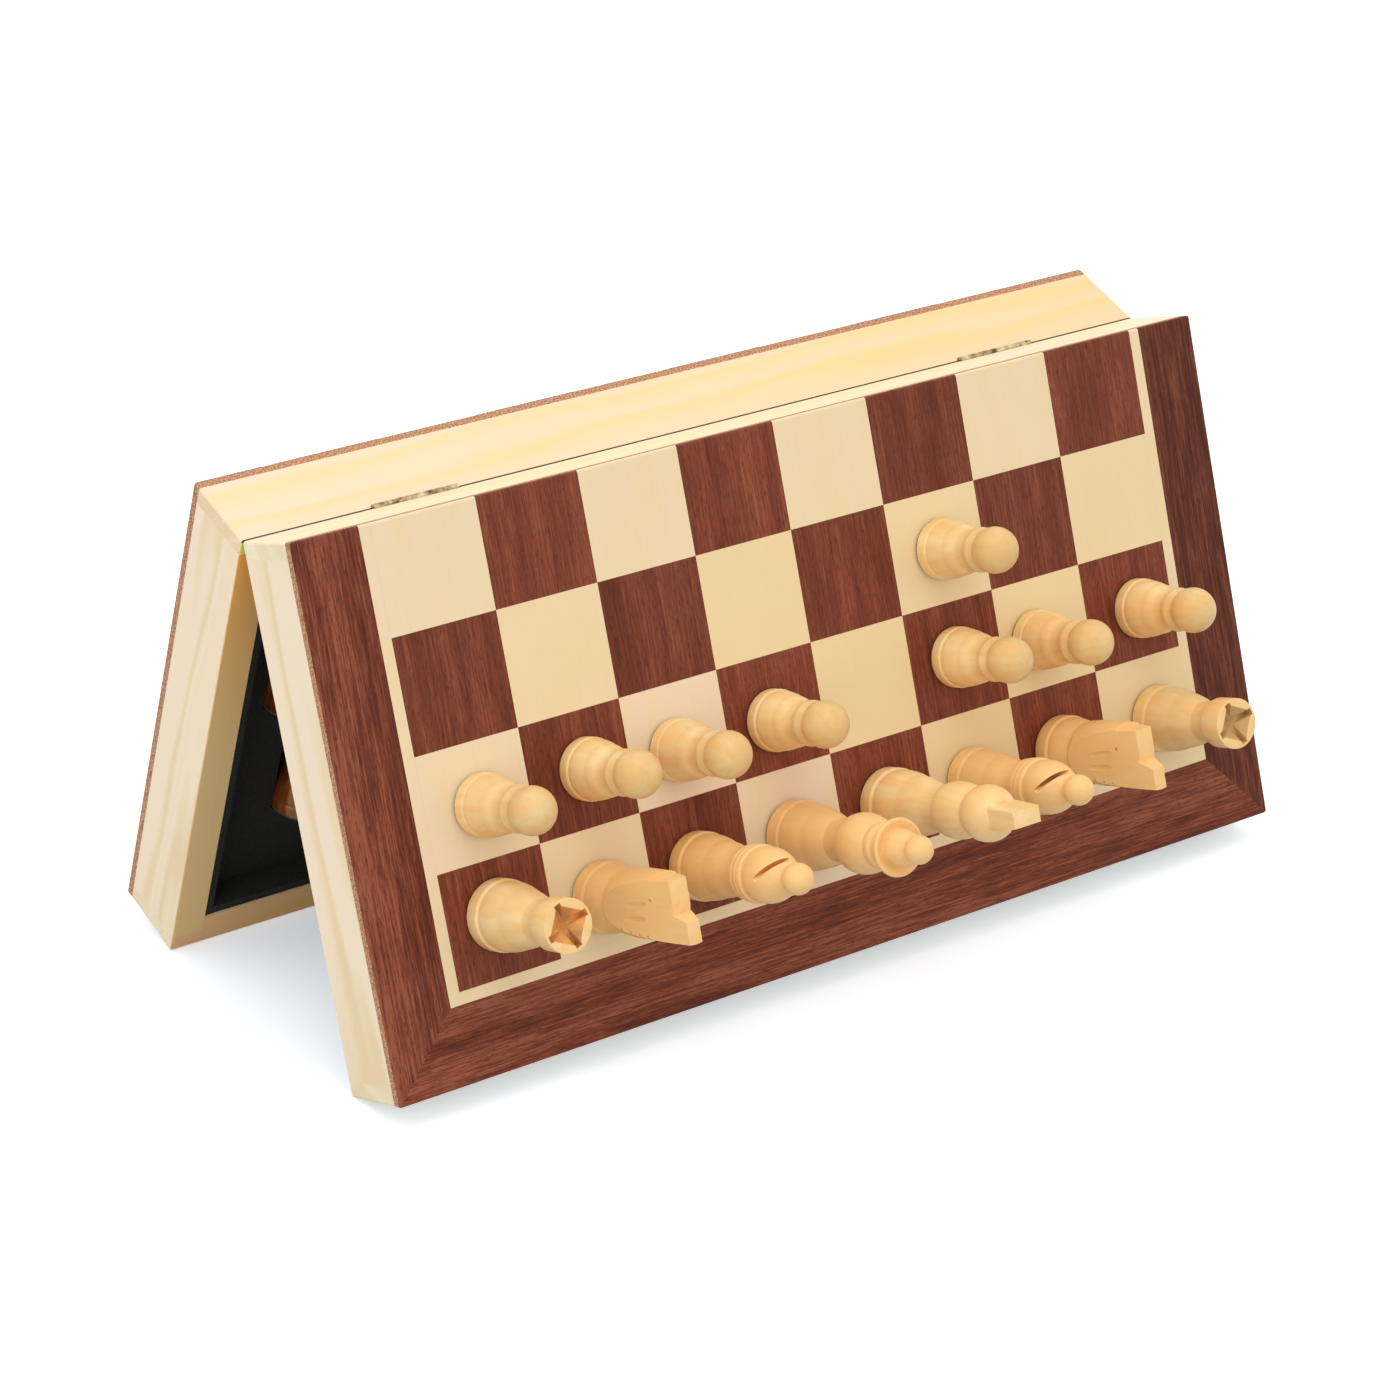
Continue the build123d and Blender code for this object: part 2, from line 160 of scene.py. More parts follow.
# noise scales are per millimetre: along the grain, across it and out of the face
pineLook = {
    "pale": colour(252, 231, 202), "warm": colour(246, 228, 176), "late": colour(242, 216, 156),
    "endWarm": colour(244, 221, 180), "endLate": colour(235, 204, 160),
    "drift": (0.006, 0.05, 0.05), "driftReach": 22.0, "ringWidth": 7.0, "heart": (-46.0, 63.0),
    "fibre": (0.05, 2.2, 2.2), "fibreShare": 0.35, "roughness": 0.42, "specular": 0.3, "relief": 0.04,
    "strength": 0.4,
    "sawn": colour(250, 235, 200), "endGrain": colour(238, 216, 172), "endPores": 1.4, "endSkin": 0.12,
    "bandShare": 0.6, "mellowEnd": 150.0, "mellowLeft": colour(252, 241, 238),
    "mellowRight": colour(250, 232, 208), "rimSkin": 0.2, "railSlack": 0.1,
    # the rim colours are painted light: golden painted shadow, cream painted bounce light, a yellow painted
    # highlight, and a dark painted shadow line in the gap where the halves meet
    "rimGold": colour(255, 174, 60), "rimCream": colour(255, 215, 144), "rimReach": 75.0,
    "longGold": 0.55, "endGold": 0.9, "rimYellow": colour(246, 232, 132), "seam": colour(92, 68, 44),
    "seamWidth": 0.8,
}


def pineRings(tree, run, across, out):
    # growth rings round a heart well inside the plank, drifting along it
    look = pineLook
    slow = stretch(tree, (run, across, out), look["drift"])
    drift = calc(tree, "MULTIPLY", noise(tree, slow, 1.0, 2.0), look["driftReach"])
    heartA = calc(tree, "SUBTRACT", across, look["heart"][0])
    heartB = calc(tree, "SUBTRACT", out, look["heart"][1])
    squareA = calc(tree, "MULTIPLY", heartA, heartA)
    squareB = calc(tree, "MULTIPLY", heartB, heartB)
    reach = calc(tree, "SQRT", calc(tree, "ADD", squareA, squareB))
    rings = calc(tree, "DIVIDE", calc(tree, "ADD", reach, drift), look["ringWidth"])
    values = {"W": rings, "Scale": 1.0, "Detail": 2.0}
    return put(tree, "TexNoise", values, noise_dimensions="1D").outputs["Fac"]


def pine(name, side, along, mellow=False):
    # pale softwood: broad soft bands along the rail, rings on its sawn ends
    look = pineLook
    material, tree, shader = newMaterial(name, look)
    u, v, w = split(tree, halfCoords(tree, side))
    run, across = (u, v) if along == "u" else (v, u)
    band = pineRings(tree, run, across, w)
    fibre = noise(tree, stretch(tree, (run, across, w), look["fibre"]), 1.0, 3.0, 0.6)
    warm, late = (look["warm"], look["late"]) if along == "u" else (look["endWarm"], look["endLate"])
    tone = ramp(tree, band, (0.30, look["pale"]), (0.47, look["pale"]), (0.58, warm), (0.74, late))
    tone = mix(tree, calc(tree, "MULTIPLY", fibre, look["fibreShare"]), tone, warm)
    if along == "u":
        atEnd = calc(tree, "GREATER_THAN", calc(tree, "ABSOLUTE", u), board["length"] / 2 - look["endSkin"])
        pores = noise(tree, join(tree, 0.0, v, w), look["endPores"], 3.0)
        figure = blend(tree, pores, band, look["bandShare"])
        tone = mix(tree, atEnd, tone, ramp(tree, figure, (0.35, look["sawn"]), (0.62, look["endGrain"])))
    if mellow:
        # yellower towards the right-hand end
        ends = {"Value": u, "From Min": -look["mellowEnd"], "From Max": look["mellowEnd"]}
        rightward = put(tree, "MapRange", ends).outputs[0]
        tint = mix(tree, rightward, look["mellowLeft"], look["mellowRight"])
        tone = mix(tree, 1.0, tone, tint, "MULTIPLY")
    atRim = calc(tree, "LESS_THAN", w, look["rimSkin"])
    if along == "u":
        # painted warm shade on the rear half's long rims
        rimShade = calc(tree, "MULTIPLY", atRim, look["longGold"] if side == rear else 0.0)
        tone = mix(tree, rimShade, tone, look["rimGold"])
        # a yellow painted highlight on the hinge rail's rim, below the painted shadow line
        atHinge = calc(tree, "LESS_THAN", v, board["rail"] + look["railSlack"])
        tone = mix(tree, calc(tree, "MULTIPLY", atRim, atHinge), tone, look["rimYellow"])
        # a dark painted shadow line in the gap where the halves meet
        atTop = calc(tree, "LESS_THAN", v, look["seamWidth"])
        tone = mix(tree, calc(tree, "MULTIPLY", atRim, atTop), tone, look["seam"])
    elif side == rear:
        # painted shadow and bounce light: the rim faces are painted golden where the front half shades them,
        # most of all near the hinge, and a warm cream further down
        fade = calc(tree, "SUBTRACT", 1.0, calc(tree, "DIVIDE", v, look["rimReach"]))
        rimShade = mix(tree, calc(tree, "MAXIMUM", fade, 0.0), look["rimCream"], look["rimGold"])
        tone = mix(tree, calc(tree, "MULTIPLY", atRim, look["endGold"]), tone, rimShade)
    tree.links.new(tone, shader.inputs["Base Color"])
    bump(tree, shader, fibre, look)
    return material


# scales along the grain, across it, and of each leaf's own number
darkLook = {
    "deep": colour(92, 40, 24), "body": colour(123, 60, 39), "light": colour(152, 86, 60),
    "wave": (0.012, 0.16, 1.0), "fibre": (0.07, 1.5, 1.0), "pores": (0.4, 3.0, 1.0), "fibreShare": 0.6,
    "pore": colour(64, 26, 16), "poreShare": 0.55, "roughness": 0.42, "specular": 0.15, "relief": -0.05,
    "strength": 0.5,
    "squareSpread": 0.17, "squareSeeds": 90.0, "squareLeast": 0.86, "squareRange": 0.28,
    "borderSpread": 0.09, "endSeed": 7.3, "longSeed": 3.1, "rightBorder": 0.72,
}


def darkFigure(tree, run, across, seed, spread):
    # straight dark grain: broad stripes, short pores, and a little speckle
    look = darkLook
    wave = noise(tree, stretch(tree, (run, across, seed), look["wave"]), 1.0, 3.0, 0.6)
    fibre = noise(tree, stretch(tree, (run, across, seed), look["fibre"]), 1.0, 4.0, 0.7)
    pores = noise(tree, stretch(tree, (run, across, seed), look["pores"]), 1.0, 2.0, 0.6)
    figure = blend(tree, wave, fibre, look["fibreShare"])
    stops = (0.50 - spread, look["deep"]), (0.50, look["body"]), (0.50 + spread, look["light"])
    tone = ramp(tree, figure, *stops)
    holes = ramp(tree, pores, (0.56, grey(0)), (0.64, grey(1)))
    tone = mix(tree, calc(tree, "MULTIPLY", holes, look["poreShare"]), tone, look["pore"])
    return tone, holes


def tileSeed(tree, u, v):
    # a number of its own for each square
    tileU = calc(tree, "FLOOR", calc(tree, "DIVIDE", u, board["file"]))
    tileU = calc(tree, "MINIMUM", calc(tree, "MAXIMUM", tileU, -board["files"] / 2), board["files"] / 2 - 1)
    tileV = calc(tree, "FLOOR", calc(tree, "DIVIDE", calc(tree, "ADD", v, board["sawCut"]), board["rank"]))
    tileV = calc(tree, "MINIMUM", tileV, board["ranks"] - 1)
    square = {"Vector": join(tree, tileU, tileV, 0.5)}
    return put(tree, "TexWhiteNoise", square, noise_dimensions="3D").outputs["Value"]


def darkSquares(name, side):
    look = darkLook
    material, tree, shader = newMaterial(name, look)
    u, v = split(tree, halfCoords(tree, side))[:2]
    own = tileSeed(tree, u, v)
    seed = calc(tree, "MULTIPLY", own, look["squareSeeds"])
    tone, holes = darkFigure(tree, v, u, seed, look["squareSpread"])
    lift = calc(tree, "ADD", look["squareLeast"], calc(tree, "MULTIPLY", own, look["squareRange"]))
    shade = put(tree, "HueSaturation", {"Value": lift, "Color": tone}).outputs[0]
    tree.links.new(shade, shader.inputs["Base Color"])
    bump(tree, shader, holes, look)
    return material


def borderVeneer(name, side):
    # the grain runs along each strip and turns at the mitres
    look = darkLook
    material, tree, shader = newMaterial(name, look)
    u, v = split(tree, halfCoords(tree, side))[:2]
    innerU = board["file"] * board["files"] / 2 + board["stringing"]
    innerV = board["rank"] * board["ranks"] - board["sawCut"] + board["stringing"]
    sideways = calc(tree, "ABSOLUTE", u)
    overU = calc(tree, "DIVIDE", calc(tree, "SUBTRACT", sideways, innerU), board["length"] / 2 - innerU)
    overV = calc(tree, "DIVIDE", calc(tree, "SUBTRACT", v, innerV), board["width"] - innerV)
    isEnd = calc(tree, "GREATER_THAN", overU, overV)
    endTone, endHoles = darkFigure(tree, v, u, look["endSeed"], look["borderSpread"])
    longTone, longHoles = darkFigure(tree, u, v, look["longSeed"], look["borderSpread"])
    tone = mix(tree, isEnd, longTone, endTone)
    # the strip at the right-hand end came from a darker leaf
    atRight = calc(tree, "MULTIPLY", isEnd, calc(tree, "LESS_THAN", u, 0.0))
    value = calc(tree, "SUBTRACT", 1.0, calc(tree, "MULTIPLY", atRight, 1 - look["rightBorder"]))
    tone = put(tree, "HueSaturation", {"Value": value, "Color": tone}).outputs[0]
    holes = calc(tree, "ADD", calc(tree, "MULTIPLY", endHoles, isEnd),
                 calc(tree, "MULTIPLY", longHoles, calc(tree, "SUBTRACT", 1.0, isEnd)))
    tree.links.new(tone, shader.inputs["Base Color"])
    bump(tree, shader, holes, look)
    return material


lightLook = {
    "cream": colour(238, 214, 174), "rose": colour(238, 213, 182), "straw": colour(238, 211, 158),
    "vein": colour(230, 200, 150), "bands": (0.10, 0.03, 1.0), "veins": (1.2, 0.08, 1.0), "squareSeeds": 50.0,
    "bandMost": 0.55, "veinMost": 0.22, "roughness": 0.45, "specular": 0.25, "relief": 0.03, "strength": 0.3,
}


def lightVeneer(name, side):
    # pale straight grain with faint bands, and a tint of its own for each square
    look = lightLook
    material, tree, shader = newMaterial(name, look)
    u, v = split(tree, halfCoords(tree, side))[:2]
    own = tileSeed(tree, u, v)
    tone = ramp(tree, own, (0.0, look["straw"]), (0.55, look["cream"]), (1.0, look["rose"]))
    seed = calc(tree, "MULTIPLY", own, look["squareSeeds"])
    bands = noise(tree, stretch(tree, (u, v, seed), look["bands"]), 1.0, 2.0)
    veins = noise(tree, stretch(tree, (u, v, seed), look["veins"]), 1.0, 4.0, 0.6)
    banded = ramp(tree, bands, (0.42, grey(0)), (0.72, grey(look["bandMost"])))
    tone = mix(tree, banded, tone, look["straw"])
    veined = ramp(tree, veins, (0.5, grey(0)), (0.8, grey(look["veinMost"])))
    tone = mix(tree, veined, tone, look["vein"])
    tree.links.new(tone, shader.inputs["Base Color"])
    bump(tree, shader, veins, look)
    return material


coreLook = {
    "body": colour(186, 130, 94), "dust": colour(216, 170, 132), "dark": colour(150, 100, 70),
    "grit": 2.0, "roughness": 0.7, "specular": 0.3, "relief": 0.06, "strength": 0.5,
}


def fibreboard(name, side):
    look = coreLook
    material, tree, shader = newMaterial(name, look)
    grit = noise(tree, halfCoords(tree, side), look["grit"], 2.0, 0.6)
    tone = ramp(tree, grit, (0.40, look["dark"]), (0.50, look["body"]), (0.60, look["dust"]))
    tree.links.new(tone, shader.inputs["Base Color"])
    bump(tree, shader, grit, look)
    return material


# the painted shade on a pawn's head starts between the two values of w given for it
boxwoodLook = {
    "pale": colour(250, 218, 160), "body": colour(247, 206, 140), "warm": colour(248, 198, 128),
    "cloud": (0.16, 0.16, 0.025), "vein": colour(238, 182, 110), "veins": (0.6, 0.6, 0.072), "veinMost": 0.5,
    "sawn": colour(232, 152, 66), "sawnDark": colour(156, 86, 34), "aged": colour(190, 150, 92),
    "sawnShare": 0.8, "handledFrom": 40.0, "handledTo": 46.0, "handled": colour(238, 234, 226),
    "warmMen": 0.8, "warmCrown": 0.3, "roughness": 0.42, "coat": 0.08, "coatRoughness": 0.3,
    "specular": 0.3, "relief": 0.04, "strength": 0.2,
}


def boxwood(name, warmth, inside=None, handled=False):
    # turned men: grain along each man's axis, which stands square to the front face
    look = boxwoodLook
    material, tree, shader = newMaterial(name, look)
    shader.inputs["Coat Weight"].default_value = look["coat"]
    shader.inputs["Coat Roughness"].default_value = look["coatRoughness"]
    u, v, w = split(tree, halfCoords(tree, front))
    cloud = noise(tree, stretch(tree, (u, v, w), look["cloud"]), 1.0, 2.0)
    veins = noise(tree, stretch(tree, (u, v, w), look["veins"]), 1.0, 3.0, 0.6)
    tone = ramp(tree, cloud, (0.30, look["pale"]), (0.52, look["body"]), (0.75, look["warm"]))
    tone = mix(tree, warmth, tone, look["warm"])
    if inside:
        # cut faces: the end grain's own tone, with darker painted shade in the hollow
        sawn = ramp(tree, cloud, (0.35, look["sawnDark"]), (0.6, inside))
        tone = mix(tree, look["sawnShare"], tone, sawn)
    veined = ramp(tree, veins, (0.5, grey(0)), (0.8, grey(look["veinMost"])))
    tone = mix(tree, veined, tone, look["vein"])
    if handled:
        # painted shade: heads a little darker than bodies
        heights = {"Value": w, "From Min": look["handledFrom"], "From Max": look["handledTo"]}
        rise = put(tree, "MapRange", heights).outputs[0]
        tone = mix(tree, rise, tone, mix(tree, 1.0, tone, look["handled"], "MULTIPLY"))
    tree.links.new(tone, shader.inputs["Base Color"])
    bump(tree, shader, veins, look)
    return material


stainedLook = {
    "body": colour(140, 72, 32), "deep": colour(104, 46, 20), "glow": colour(206, 128, 66),
    "grain": (0.35, 0.035, 0.35), "sheen": colour(255, 214, 150), "roughness": 0.18, "specular": 1.0,
    "relief": 0.02, "strength": 0.1,
}


def stainedWood(name):
    # dark stained men under a gloss lacquer
    look = stainedLook
    material, tree, shader = newMaterial(name, look)
    shader.inputs["Specular Tint"].default_value = look["sheen"]
    u, v, w = split(tree, halfCoords(tree, rear))
    grain = noise(tree, stretch(tree, (u, v, w), look["grain"]), 1.0, 2.0)
    tone = ramp(tree, grain, (0.35, look["deep"]), (0.55, look["body"]), (0.85, look["glow"]))
    tree.links.new(tone, shader.inputs["Base Color"])
    bump(tree, shader, grain, look)
    return material


foamLook = {
    "cell": colour(40, 40, 39), "wall": colour(54, 54, 52), "cells": 1.6, "roughness": 0.9,
    "specular": 0.15, "relief": 0.2, "strength": 0.6,
}


def cutFoam(name, side):
    look = foamLook
    material, tree, shader = newMaterial(name, look)
    values = {"Vector": halfCoords(tree, side), "Scale": look["cells"]}
    cells = put(tree, "TexVoronoi", values).outputs["Distance"]
    tone = ramp(tree, cells, (0.0, look["cell"]), (0.6, look["wall"]))
    tree.links.new(tone, shader.inputs["Base Color"])
    bump(tree, shader, cells, look)
    return material


feltLook = {
    "deep": colour(40, 62, 44), "nap": colour(74, 98, 70), "fuzz": 5.0, "sheen": 0.4, "roughness": 0.95,
    "specular": 0.1, "relief": 0.1, "strength": 0.6,
}


def feltCloth(name, side):
    look = feltLook
    material, tree, shader = newMaterial(name, look)
    fuzz = noise(tree, halfCoords(tree, side), look["fuzz"], 3.0, 0.8)
    tone = ramp(tree, fuzz, (0.35, look["deep"]), (0.65, look["nap"]))
    tree.links.new(tone, shader.inputs["Base Color"])
    shader.inputs["Sheen Weight"].default_value = look["sheen"]
    bump(tree, shader, fuzz, look)
    return material


# each metal's clean colour, its tarnish and its roughness
metalLook = {
    "brass": (colour(236, 214, 168), colour(110, 82, 50), 0.34),
    "steel": (colour(190, 192, 194), colour(140, 142, 146), 0.4),
    "plating": (colour(214, 214, 214), colour(172, 172, 176), 0.2),
    "spots": 0.3, "scratches": 6.0, "smoother": 0.08, "scratchRange": 0.2, "specular": 0.5,
    "relief": 0.02, "strength": 0.3,
}


def metal(name, kind):
    look = metalLook
    body, tarnish, roughness = look[kind]
    material, tree, shader = newMaterial(name, {**look, "roughness": roughness})
    shader.inputs["Metallic"].default_value = 1.0
    spots = noise(tree, halfCoords(tree, rear), look["spots"], 3.0, 0.6)
    tree.links.new(ramp(tree, spots, (0.35, tarnish), (0.62, body)), shader.inputs["Base Color"])
    scratches = noise(tree, halfCoords(tree, rear), look["scratches"], 2.0)
    worn = calc(tree, "MULTIPLY", scratches, look["scratchRange"])
    worn = calc(tree, "ADD", roughness - look["smoother"], worn)
    tree.links.new(worn, shader.inputs["Roughness"])
    bump(tree, shader, scratches, look)
    return material


def wear(node, material):
    # a CAD node keeps its mesh and takes a new finish
    nodes[node].data.materials.clear()
    nodes[node].data.materials.append(material)


brass = metal("hingeBrass", "brass")
steel = metal("sheetSteel", "steel")
plate = metal("magnetPlating", "plating")
for side, label in ((front, "front"), (rear, "rear")):
    longPine = pine(label + "LongPine", side, "u")
    endPine = pine(label + "EndPine", side, "v")
    topPine = pine("rearTopPine", rear, "u", mellow=True) if side == rear else longPine
    wear(label + "_hinge_rail", topPine)
    wear(label + "_free_rail", longPine)
    wear(label + "_left_rail", endPine)
    wear(label + "_right_rail", endPine)
    wear(label + "_core_board", fibreboard(label + "Core", side))
    wear(label + "_dark_squares", darkSquares(label + "DarkSquares", side))
    pale = lightVeneer(label + "LightVeneer", side)
    wear(label + "_light_squares", pale)
    wear(label + "_stringing", pale)
    wear(label + "_border", borderVeneer(label + "Border", side))
    wear(label + "_foam", cutFoam(label + "Foam", side))
    wear(label + "_steel_sheet", steel)
    wear(label + "_catch_magnets", plate)
    for part in ("hinge_screws", "left_leaf", "right_leaf"):
        wear(f"{label}_{part}", brass)
wear("left_hinge_pin", steel)
wear("right_hinge_pin", steel)
print("board finished")


def clearSelection():
    bpy.ops.object.select_all(action="DESELECT")


def pick(item):
    clearSelection()
    item.select_set(True)
    bpy.context.view_layer.objects.active = item


def applyModifiers(item):
    pick(item)
    for modifier in list(item.modifiers):
        bpy.ops.object.modifier_apply(modifier=modifier.name)


felt = {"thickness": 0.8, "inset": 0.4, "sides": 48, "edge": 0.15, "edgeSteps": 2, "seat": 0.01}
foot = felt["thickness"]
# edges sharper than edgeAngle are rounded, and faces of more than mostCorners stay flat
turning = {
    "sides": 64, "arcSteps": 10, "ballSteps": 16, "tip": 0.01, "edgeRound": 0.22, "edgeSteps": 3,
    "edgeAngle": 24.0, "smoothAngle": 38.0, "mostCorners": 8, "facing": 0.98,
}


def ball(height, radius, neck):
    drop = sqrt(radius**2 - neck**2)
    return [(neck, height - drop), (0, height + radius, radius, height)]


# radius and height from the felt up; a third number bows a stretch out by that much,
# and two more give a point that its arc runs through
men = {
    "pawn": [
        (8.6, foot), (8.6, 4.0), (8.1, 4.5), (8.3, 5.2), (7.4, 10.2, 0.15), (7.25, 10.6),
        (6.1, 14.2, 0.25), (5.98, 14.5), (5.6, 17.6, -0.15),
        (6.25, 18.5), (6.3, 19.8), (5.5, 20.6), *ball(25.3, 6.5, 5.0),
    ],
    "rook": [
        (9.7, foot), (9.7, 4.9), (9.1, 5.5), (9.35, 6.3), (8.3, 13.2, 0.3), (8.15, 13.6), (5.8, 21.6, 0.35),
        (5.8, 22.4), (6.9, 27.6, -0.35), (7.15, 28.2), (7.2, 34.8), (0, 34.8),
    ],
    "knight": [
        (9.8, foot), (9.8, 4.9), (9.25, 5.5), (9.4, 6.3), (7.9, 12.4, 0.3), (7.9, 12.9),
        (8.9, 15.2, 0.2), (9.3, 20.0), (9.3, 42.0), (0, 42.0),
    ],
    "bishop": [
        (9.45, foot), (9.45, 4.9), (8.9, 5.5), (9.05, 6.3), (7.95, 13.4, 0.3), (7.8, 13.8), (6.4, 20.5, 0.25),
        (6.3, 24.6), (7.4, 25.2), (7.6, 26.9), (7.1, 27.4), (7.8, 27.9), (7.9, 29.0), (7.4, 29.5),
        (8.0, 30.0), (7.9, 31.0), (7.35, 31.5),
        (3.2, 43.2, 7.35, 36.4), *ball(47.1, 4.3, 3.0),
    ],
    "queen": [
        (9.85, foot), (9.85, 5.2), (9.3, 5.8), (9.5, 6.6), (8.45, 13.8, 0.3), (8.3, 14.2), (5.9, 21.8, 0.4),
        (5.8, 26.6), (7.4, 28.8, -0.2), (6.5, 39.2, 8.35, 33.0), (6.0, 39.6), (6.2, 40.2), (6.2, 41.6),
        (5.4, 42.2), (8.0, 47.4, -0.9), (7.9, 48.1), (7.3, 48.3), (5.3, 47.2), (5.0, 48.0),
        (2.8, 53.6, 4.7, 51.2), *ball(56.7, 3.95, 2.8),
    ],
    "king": [
        (10.0, foot), (10.0, 4.8), (9.4, 5.4), (9.6, 6.2), (8.65, 13.9, 0.35), (8.5, 14.3), (6.2, 23.2, 0.45),
        (6.0, 27.2), (7.2, 28.8, -0.15), (6.6, 39.0, 7.95, 33.0), (6.0, 39.8), (6.0, 40.4),
        (3.8, 52.2, 7.85, 45.6), (0, 52.2),
    ],
}


def arcSteps(first, middle, last, steps):
    # points along the round stretch through three points, without the first
    (ax, ay), (bx, by), (cx, cy) = first, middle, last
    twice = 2 * (ax * (by - cy) + bx * (cy - ay) + cx * (ay - by))
    one, two, three = ax**2 + ay**2, bx**2 + by**2, cx**2 + cy**2
    centreX = (one * (by - cy) + two * (cy - ay) + three * (ay - by)) / twice
    centreY = (one * (cx - bx) + two * (ax - cx) + three * (bx - ax)) / twice
    radius = sqrt((ax - centreX)**2 + (ay - centreY)**2)
    start, through, end = [atan2(y - centreY, x - centreX) for x, y in (first, middle, last)]
    full = 2 * pi
    sweep = (end - start) % full
    if (through - start) % full > sweep:
        sweep -= full
    turns = [start + sweep * step / steps for step in range(1, steps + 1)]
    return [(centreX + radius * cos(turn), centreY + radius * sin(turn)) for turn in turns]


def outlineRings(outline):
    # the outline with its round stretches broken into short steps
    rings = [outline[0]]
    for there in outline[1:]:
        here, end = rings[-1], there[:2]
        if len(there) == 2:
            rings.append(end)
            continue
        if len(there) == 4:
            through = there[2:]
        else:
            run, rise = end[0] - here[0], end[1] - here[1]
            out = there[2] / sqrt(run**2 + rise**2)
            through = ((here[0] + end[0]) / 2 + out * rise, (here[1] + end[1]) / 2 - out * run)
        steps = turning["ballSteps" if end[0] == 0 else "arcSteps"]
        rings += arcSteps(here, through, end, steps)
    return rings


def turnMan(kind):
    # a disc drawn up ring by ring, as a lathe would leave it
    rings = outlineRings(men[kind])
    clearSelection()
    bpy.ops.mesh.primitive_circle_add(vertices=turning["sides"], radius=rings[0][0] * mm,
                                      location=(0, 0, rings[0][1] * mm), fill_type="NGON")
    man = bpy.context.object
    bpy.ops.object.transform_apply(location=True)
    bpy.ops.object.mode_set(mode="EDIT")
    bpy.ops.mesh.select_all(action="SELECT")
    for here, there in zip(rings, rings[1:]):
        bpy.ops.mesh.extrude_region_move(TRANSFORM_OT_translate={"value": (0, 0, (there[1] - here[1]) * mm)})
        shrink = max(there[0], turning["tip"]) / max(here[0], turning["tip"])
        bpy.ops.transform.resize(value=(shrink, shrink, 1), center_override=(0, 0, there[1] * mm))
    bpy.ops.mesh.merge(type="COLLAPSE")
    bpy.ops.mesh.select_all(action="SELECT")
    bpy.ops.mesh.normals_make_consistent(inside=False)
    bpy.ops.object.mode_set(mode="OBJECT")
    return man


def combine(item, other, operation):
    pick(item)
    carve = item.modifiers.new("combine", "BOOLEAN")
    carve.operation, carve.solver, carve.object = operation, "EXACT", other
    bpy.ops.object.modifier_apply(modifier=carve.name)
    bpy.data.objects.remove(other)


def cutAway(item, cutter):
    combine(item, cutter, "DIFFERENCE")


def roundEdges(item, width, steps, angle=30.0):
    soft = item.modifiers.new("edges", "BEVEL")
    soft.width, soft.segments, soft.limit_method = width * mm, steps, "ANGLE"
    soft.angle_limit = radians(angle)
    applyModifiers(item)


def addBlock(size, place, turn=(0, 0, 0)):
    clearSelection()
    bpy.ops.mesh.primitive_cube_add(size=1, location=Vector(place) * mm, rotation=turn)
    block = bpy.context.object
    block.scale = Vector(size) * mm
    bpy.ops.object.transform_apply(location=True, rotation=True, scale=True)
    return block


def placeBlock(size, matrix):
    # the same, moved by a matrix in millimetres
    block = addBlock(size, (0, 0, 0))
    block.data.transform(Matrix.Scale(mm, 4) @ matrix @ Matrix.Scale(1 / mm, 4))
    return block


def darkenCut(man, reach, low, high, across=None):
    # the sawn faces inside a cut take the second material, the end grain's own tone darkened by painted shade
    # in the hollow; across is the direction that they face, on the cut's own side of the man
    for face in man.data.polygons:
        out = sqrt(face.center.x**2 + face.center.y**2) / mm
        within = out < reach and low * mm < face.center.z < high * mm
        if within and across is not None:
            within = face.center.y < 0 and abs(face.normal.dot(across)) > turning["facing"]
        if within:
            face.material_index = 1


rookCrown = {
    "top": 34.8, "turns": (20.0, 110.0), "slotWidth": 2.0, "slotLength": 13.0, "slotDepth": 3.2,
    "bowlReach": 6.3, "bowlDepth": 4.6, "bowlFloor": 0.3, "darkWithin": 6.9, "darkDepth": 6.0, "rim": 0.05,
}


def carveRook(man):
    # a four-sided bowl, and two crossing cuts that run out through its corners
    look = rookCrown
    clearSelection()
    bpy.ops.mesh.primitive_cone_add(vertices=4, radius1=look["bowlFloor"] * sqrt(2) * mm,
                                    radius2=look["bowlReach"] * 2 * mm, depth=look["bowlDepth"] * 2 * mm,
                                    location=(0, 0, look["top"] * mm),
                                    rotation=(0, 0, radians(look["turns"][0])))
    bowl = bpy.context.object
    bpy.ops.object.transform_apply(location=True, rotation=True, scale=True)
    cutAway(man, bowl)
    for turn in look["turns"]:
        size = (look["slotLength"], look["slotWidth"], look["slotDepth"] * 2)
        cutAway(man, addBlock(size, (0, 0, look["top"]), (0, 0, radians(turn))))
    darkenCut(man, look["darkWithin"], look["top"] - look["darkDepth"], look["top"] - look["rim"])


# cutter is longer and deeper than the head is thick; inner is how near the axis it comes
bishopCut = {
    "height": 37.2, "tilt": 46.0, "spin": 33.0, "turn": -5.0, "inner": 3.9, "width": 1.3,
    "cutter": (24.0, 10.0), "darkWithin": 7.0, "darkRise": 7.0,
}


def carveBishop(man):
    # a short slanting cut that stops well before the axis
    look = bishopCut
    turn = Matrix.Rotation(radians(look["turn"]), 4, "Z") @ Matrix.Rotation(-radians(look["tilt"]), 4, "X")
    length, depth = look["cutter"]
    back = Matrix.Translation((0, -look["inner"] - depth / 2, 0))
    spin = Matrix.Rotation(radians(look["spin"]), 4, "Z") @ back
    place = Matrix.Translation((0, 0, look["height"])) @ turn @ spin
    cutAway(man, placeBlock((length, depth, look["width"]), place))
    across = turn.to_3x3() @ Vector((0, 0, 1))
    darkenCut(man, look["darkWithin"], look["height"], look["height"] + look["darkRise"], across)


